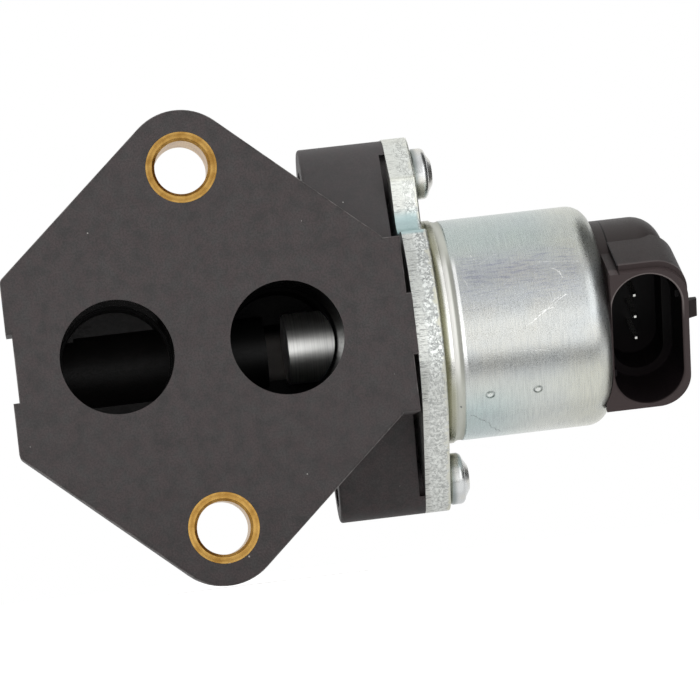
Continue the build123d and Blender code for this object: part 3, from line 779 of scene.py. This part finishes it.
# %% [markdown]
# ## The sheared plate
# The plate is stamped from thick sheet. The punch shears the first half of its rim, which shows fine
# lines across it, then the metal tears along a wandering line, and the last part is drawn round. The
# hollow below the upper ear is smooth, and its bluish tone is a painted reflection. Ridged noise, which
# peaks where plain noise crosses its middle, gives the dark cracks of the tear.

# %% Plate: where the metal is sheared, torn and drawn
plate_start = 28.25
plate_thickness = 3.45
hollow_heights = (11.9, 12.4, 14.6, 16.4)
plate_paint, tree, shader = new_finish("plate_plating", metallic=1.0)
spot, x, y, z = place_in_mm(tree)
marks = use_group(tree, zinc, Sparkle_Size=0.13, Line_Width=0.2, Tint_Size=5.0)
across = maths(tree, "DIVIDE", minus(tree, x, plate_start), plate_thickness)
wander = noise(tree, spot, 0.8, 4.0, 0.65)
tear = plus(tree, across, times(tree, minus(tree, wander, 0.5), 0.7))
wider = ease(tree, z, -4.0, -12.0, 0.0, 0.2)
torn = times(tree, ease(tree, plus(tree, tear, wider), 0.28, 0.5), ease(tree, tear, 0.93, 0.86))
drawn = ease(tree, tear, 0.86, 0.94)
hollow_painted_reflection = times(tree, band(tree, z, *hollow_heights), ease(tree, x, 31.6, 31.0))

# %% Plate: sheared metal
shear = noise(tree, stretched(tree, x, y, z, 0.7, 6.5), 1.0, 3.0, 0.7)
silver = blend(tree, marks["Tint"], shown(210, 213, 209), shown(222, 224, 219))
lower = ease(tree, z, -3.0, -10.0)
silver = blend(tree, times(tree, lower, 0.7), silver, shown(196, 197, 191))
cuts = times(tree, ease(tree, shear, 0.5, 0.36), ease(tree, z, -10.0, 12.0, 0.8, 0.55))
silver = blend(tree, cuts, silver, shown(124, 126, 125))
edge_cuts = times(tree, ease(tree, shear, 0.46, 0.38), ease(tree, across, 0.36, 0.1, 0.0, 0.6))
silver = blend(tree, edge_cuts, silver, shown(84, 87, 88))
grit = ease(tree, marks["Sparkle"], 0.48, 0.62)
silver = blend(tree, times(tree, grit, 0.4), silver, shown(158, 159, 157))

# %% Plate: torn metal
swing = maths(tree, "ABSOLUTE", minus(tree, noise(tree, spot, 1.25, 2.0, 0.6), 0.5))
crack = ease(tree, swing, 0.06, 0.0)
flakes = ease(tree, noise(tree, spot, 2.3, 2.0, 0.6), 0.4, 0.6)
rough_metal = blend(tree, flakes, shown(190, 193, 191), shown(238, 241, 238))
rough_metal = blend(tree, times(tree, lower, 0.5), rough_metal, shown(205, 206, 201))
depth = times(tree, crack, ease(tree, lower, 0.0, 1.0, 0.65, 0.45))
rough_metal = blend(tree, depth, rough_metal, shown(118, 121, 120))

# %% Plate: colours together
crease_heights = (19.7, 20.1, 20.3, 20.7)
edge = blend(tree, marks["Tint"], shown(206, 205, 188), shown(214, 214, 204))
colour = blend(tree, torn, silver, rough_metal)
colour = blend(tree, times(tree, drawn, 0.9), colour, edge)
# The bluish hollow below the upper ear is a painted reflection.
colour = blend(tree, times(tree, hollow_painted_reflection, 0.9), colour, shown(180, 203, 204))
# A line along the crease at the upper ear is painted shade.
crease_painted_shade = band(tree, z, *crease_heights)
colour = blend(tree, times(tree, crease_painted_shade, 0.4), colour, shown(190, 188, 166))
# Lighter towards the top of the rim: painted light from above.
colour = blend(tree, ease(tree, z, 15.0, 18.0, 0.0, 0.5), colour, shown(240, 243, 236))
colour = blend(tree, ease(tree, z, 24.5, 28.0, 0.0, 0.6), colour, shown(208, 207, 194))
paint(tree, shader, colour, ease(tree, marks["Sparkle"], 0.3, 0.7, 0.34, 0.52))

# %% Plate: relief
plain = minus(tree, 1.0, hollow_painted_reflection)
folds = times(tree, crack, times(tree, torn, -0.8))
bumps = times(tree, flakes, times(tree, torn, 0.5))
relief = plus(tree, times(tree, shear, 0.4), plus(tree, folds, bumps))
raise_surface(tree, shader, times(tree, relief, plain), 0.09, 0.4)
dress(plate_paint, "solenoid_plate")

# %% [markdown]
# ## Bright screws and tinned pins
# The screw heads are rolled and plated bright, and a painted dark reflection darkens them where they
# meet the plate. The pins are tinned, whiter and plain.

# %% Bright metals
screw_paint, tree, shader = new_finish("bright_screw", metallic=1.0)
marks = use_group(tree, zinc, Sparkle_Size=0.5, Line_Width=0.3, Tint_Size=3.0)
x = place_in_mm(tree)[1]
colour = blend(tree, marks["Tint"], shown(212, 214, 214), shown(218, 216, 208))
# Where the heads meet the plate they are painted darker: a painted reflection of the plate.
colour = blend(tree, ease(tree, x, 33.0, 32.2, 0.0, 0.75), colour, shown(116, 126, 124))
paint(tree, shader, colour, ease(tree, marks["Sparkle"], 0.3, 0.7, 0.24, 0.34))
dress(screw_paint, "body_screws")

tin, tree, shader = new_finish("tinned_pin", metallic=1.0)
marks = use_group(tree, zinc, Sparkle_Size=0.12, Line_Width=0.2, Tint_Size=2.0)
colour = blend(tree, marks["Tint"], shown(214, 214, 210), shown(226, 225, 220))
paint(tree, shader, colour, ease(tree, marks["Sparkle"], 0.3, 0.7, 0.2, 0.34))
dress(tin, "terminal_1", "terminal_2", "terminal_3")

# %% [markdown]
# ## Turned pieces inside
# The spool is the one inner piece that shows, through the right-hand port. It is fine-turned light
# alloy, so its lines run around it and depend on the length. The rod, the armature and the pole piece
# are turned steel and iron, and take the same lines at a coarser pitch.

# %% Turned metals
band_shade = 0.86
# Colour, pitch of the lines, lowest and highest roughness, and the pieces
turned = {
    "turned_alloy": (shown(250, 250, 247), 0.035, (0.36, 0.46), ("valve_spool",)),
    "ground_steel": (shown(176, 177, 178), 0.06, (0.2, 0.3), ("plunger_rod",)),
    "soft_iron": (shown(140, 139, 137), 0.16, (0.32, 0.46), ("armature", "pole_piece", "flux_washer")),
    "sintered_bronze": (shown(164, 122, 72), 0.12, (0.4, 0.55), ("guide_bush",)),
}
for name, (base, pitch, (low, high), pieces) in turned.items():
    finish, tree, shader = new_finish(name, metallic=1.0)
    x = place_in_mm(tree)[1]
    marks = use_group(tree, turning, Distance=x, Pitch=pitch)
    darker = tuple(level * band_shade for level in base[:3]) + (1.0,)
    colour = blend(tree, ease(tree, marks["Bands"], 0.35, 0.7), base, darker)
    paint(tree, shader, colour, ease(tree, marks["Lines"], 0.3, 0.7, low, high))
    raise_surface(tree, shader, marks["Lines"], 0.005, 0.4)
    dress(finish, *pieces)

# %% [markdown]
# ## Plain mouldings and rubber
# The seat, the seals and the bobbin are moulded and carry no marks of their own, so one loop dresses
# them: the moulding group gives soft clouds between two near colours and a fine grain in the shine.

# %% Plain mouldings
# Specular level, sizes of clouds and grain, two colours, lowest and highest roughness, and the pieces
seals = ("stop_washer", "body_seal", "bobbin_seal")
mouldings = {
    "seat_moulding": (
        0.25, 3.0, 0.2, shown(10, 10, 10), shown(15, 14, 14), (0.45, 0.6), ("valve_seat",)),
    "seal_rubber": (0.3, 3.0, 0.15, shown(30, 30, 31), shown(40, 39, 40), (0.6, 0.75), seals),
    "bobbin_moulding": (
        0.5, 6.0, 0.2, shown(190, 178, 152), shown(204, 193, 168), (0.4, 0.55), ("coil_bobbin",)),
}
for name, (level, clouds, grain, first, second, (low, high), pieces) in mouldings.items():
    finish, tree, shader = new_finish(name, Specular_IOR_Level=level)
    marks = use_group(tree, mottle, Cloud_Size=clouds, Grain_Size=grain)
    colour = blend(tree, marks["Clouds"], first, second)
    paint(tree, shader, colour, ease(tree, marks["Grain"], 0.3, 0.7, low, high))
    dress(finish, *pieces)

# %% [markdown]
# ## Wound wire
# The coil winding and the return spring are both wire on a round former. Drawing each turn by hand
# would be long and hard to change, so Geometry Nodes do it: for the winding, one ring of wire is
# repeated along the bobbin over a solid core, and for the spring a wire follows a spiral. Sizes are
# named inputs of the trees, in metres.

# %% Finishes for wire
copper, tree, shader = new_finish("enamelled_copper", metallic=1.0, Coat_Weight=0.4)
x = place_in_mm(tree)[1]
marks = use_group(tree, turning, Distance=x, Pitch=0.3)
colour = blend(tree, ease(tree, marks["Lines"], 0.3, 0.7), shown(150, 82, 46), shown(196, 120, 72))
paint(tree, shader, colour, ease(tree, marks["Bands"], 0.3, 0.7, 0.25, 0.4))

spring_steel, tree, shader = new_finish("spring_wire", metallic=1.0)
marks = use_group(tree, zinc, Sparkle_Size=0.15, Line_Width=0.2, Tint_Size=2.0)
colour = blend(tree, marks["Tint"], shown(150, 150, 150), shown(168, 167, 164))
paint(tree, shader, colour, ease(tree, marks["Sparkle"], 0.3, 0.7, 0.22, 0.36))

# %% Helpers for wire trees
def new_wire_tree(name, sizes, counts):
    """An empty Geometry Nodes tree with named sizes, counts, a place and a material."""
    tree = bpy.data.node_groups.new(name, "GeometryNodeTree")
    for socket in sizes:
        tree.interface.new_socket(socket, in_out="INPUT", socket_type="NodeSocketFloat")
    for socket in counts:
        tree.interface.new_socket(socket, in_out="INPUT", socket_type="NodeSocketInt")
    tree.interface.new_socket("Place", in_out="INPUT", socket_type="NodeSocketVector")
    tree.interface.new_socket("Finish", in_out="INPUT", socket_type="NodeSocketMaterial")
    tree.interface.new_socket("Geometry", in_out="OUTPUT", socket_type="NodeSocketGeometry")
    return tree, tree.nodes.new("NodeGroupInput").outputs, tree.nodes.new("NodeGroupOutput").inputs


def ring(tree, sides, radius):
    """A circle, to carry along a path or to be one."""
    ends = {"Resolution": sides, "Radius": radius}
    return add(tree, "GeometryNodeCurvePrimitiveCircle", ends).outputs[0]


def sweep(tree, path, section, caps=False):
    """A section carried along a path."""
    ends = {"Curve": path, "Profile Curve": section, "Fill Caps": caps}
    return add(tree, "GeometryNodeCurveToMesh", ends).outputs[0]


def finish_wire_tree(tree, given, result, shape):
    """Turns the shape's axis from Z to X, puts it in place and gives it its finish."""
    lean = {"Geometry": shape, "Rotation": (0.0, math.pi / 2, 0.0), "Translation": given["Place"]}
    placed = add(tree, "GeometryNodeTransform", lean)
    smooth = add(tree, "GeometryNodeSetShadeSmooth", {"Geometry": placed.outputs[0]})
    real = add(tree, "GeometryNodeRealizeInstances", {"Geometry": smooth.outputs[0]})
    ends = {"Geometry": real.outputs[0], "Material": given["Finish"]}
    dressed = add(tree, "GeometryNodeSetMaterial", ends)
    tree.links.new(dressed.outputs[0], result["Geometry"])


def make_piece(name, tree, values):
    """Runs a tree with its inputs set, and keeps the result as a plain mesh at the origin."""
    holder = link_object(bpy.data.objects.new(name, bpy.data.meshes.new(name + "_start")))
    modifier = holder.modifiers.new(tree.name, "NODES")
    modifier.node_group = tree
    for item in tree.interface.items_tree:
        if item.in_out == "INPUT":
            modifier[item.identifier] = values[item.name]
    graph = bpy.context.evaluated_depsgraph_get()
    mesh = bpy.data.meshes.new_from_object(holder.evaluated_get(graph), depsgraph=graph)
    holder.modifiers.remove(modifier)
    holder.data = mesh
    print(name, "has", len(mesh.polygons), "faces")
    return holder


# %% Winding
turn_sides = 96
wire_sides = 8
winding_sizes = ("Core Middle", "Core Depth", "Core Length", "Turn Radius", "Wire Radius")
winding_tree, given, result = new_wire_tree("winding turns", winding_sizes, ("Turns",))
core_path = ring(winding_tree, turn_sides, given["Core Middle"])
core_section = add(winding_tree, "GeometryNodeCurvePrimitiveQuadrilateral", {
    "Width": given["Core Depth"], "Height": given["Core Length"]})
core = sweep(winding_tree, core_path, core_section.outputs[0])
turn_path = ring(winding_tree, turn_sides, given["Turn Radius"])
one_turn = sweep(winding_tree, turn_path, ring(winding_tree, wire_sides, given["Wire Radius"]))
pitch = maths(winding_tree, "DIVIDE", given["Core Length"], given["Turns"])
row_length = minus(winding_tree, given["Core Length"], pitch)
row_start = add(winding_tree, "ShaderNodeCombineXYZ", {2: times(winding_tree, row_length, -0.5)})
row_step = add(winding_tree, "ShaderNodeCombineXYZ", {2: pitch})
row = add(winding_tree, "GeometryNodeMeshLine", {
    "Count": given["Turns"], "Start Location": row_start.outputs[0], "Offset": row_step.outputs[0]})
turns = add(winding_tree, "GeometryNodeInstanceOnPoints", {
    "Points": row.outputs[0], "Instance": one_turn})
joined = add(winding_tree, "GeometryNodeJoinGeometry")
winding_tree.links.new(core, joined.inputs[0])
winding_tree.links.new(turns.outputs[0], joined.inputs[0])
finish_wire_tree(winding_tree, given, result, joined.outputs[0])

low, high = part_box("coil_winding")
wire_radius = 0.00021
winding_inner = 0.00682
outer_radius = (high[1] - low[1]) / 2
core_depth = outer_radius - wire_radius - winding_inner
winding_length = high[0] - low[0]
winding = make_piece("winding_turns", winding_tree, {
    "Core Middle": winding_inner + core_depth / 2, "Core Depth": core_depth,
    "Core Length": winding_length, "Turn Radius": outer_radius - wire_radius,
    "Wire Radius": wire_radius, "Finish": copper, "Turns": int(winding_length / (2 * wire_radius)),
    "Place": ((low[0] + high[0]) / 2, solenoid_y / MM, solenoid_z / MM)})
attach(winding, "housing")
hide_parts("coil_winding")

# %% Return spring
spring_turns = 7.5
spring_steps = 48
spring_sides = 12
spring_sizes = ("Coil Radius", "Wire Radius", "Length", "Turns")
spring_tree, given, result = new_wire_tree("spring wire", spring_sizes, ("Steps",))
path = add(spring_tree, "GeometryNodeCurveSpiral", {
    "Resolution": given["Steps"], "Rotations": given["Turns"], "Start Radius": given["Coil Radius"],
    "End Radius": given["Coil Radius"], "Height": given["Length"]})
section = ring(spring_tree, spring_sides, given["Wire Radius"])
wire = sweep(spring_tree, path.outputs[0], section, caps=True)
finish_wire_tree(spring_tree, given, result, wire)

low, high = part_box("return_spring")
spring_wire = 0.0003
coil_radius = (high[1] - low[1]) / 2 - spring_wire
spring = make_piece("spring_coil", spring_tree, {
    "Coil Radius": coil_radius, "Wire Radius": spring_wire,
    "Length": high[0] - low[0] - 2 * spring_wire,
    "Turns": spring_turns, "Steps": spring_steps, "Finish": spring_steel,
    "Place": (low[0] + spring_wire, solenoid_y / MM, solenoid_z / MM)})
middle = (solenoid_y / MM, solenoid_z / MM)
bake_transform(spring)
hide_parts("return_spring")

# %% [markdown]
# ## Last steps
# Colours are shown as they are written with the Standard view.

# %% View
bpy.context.scene.view_settings.view_transform = "Standard"
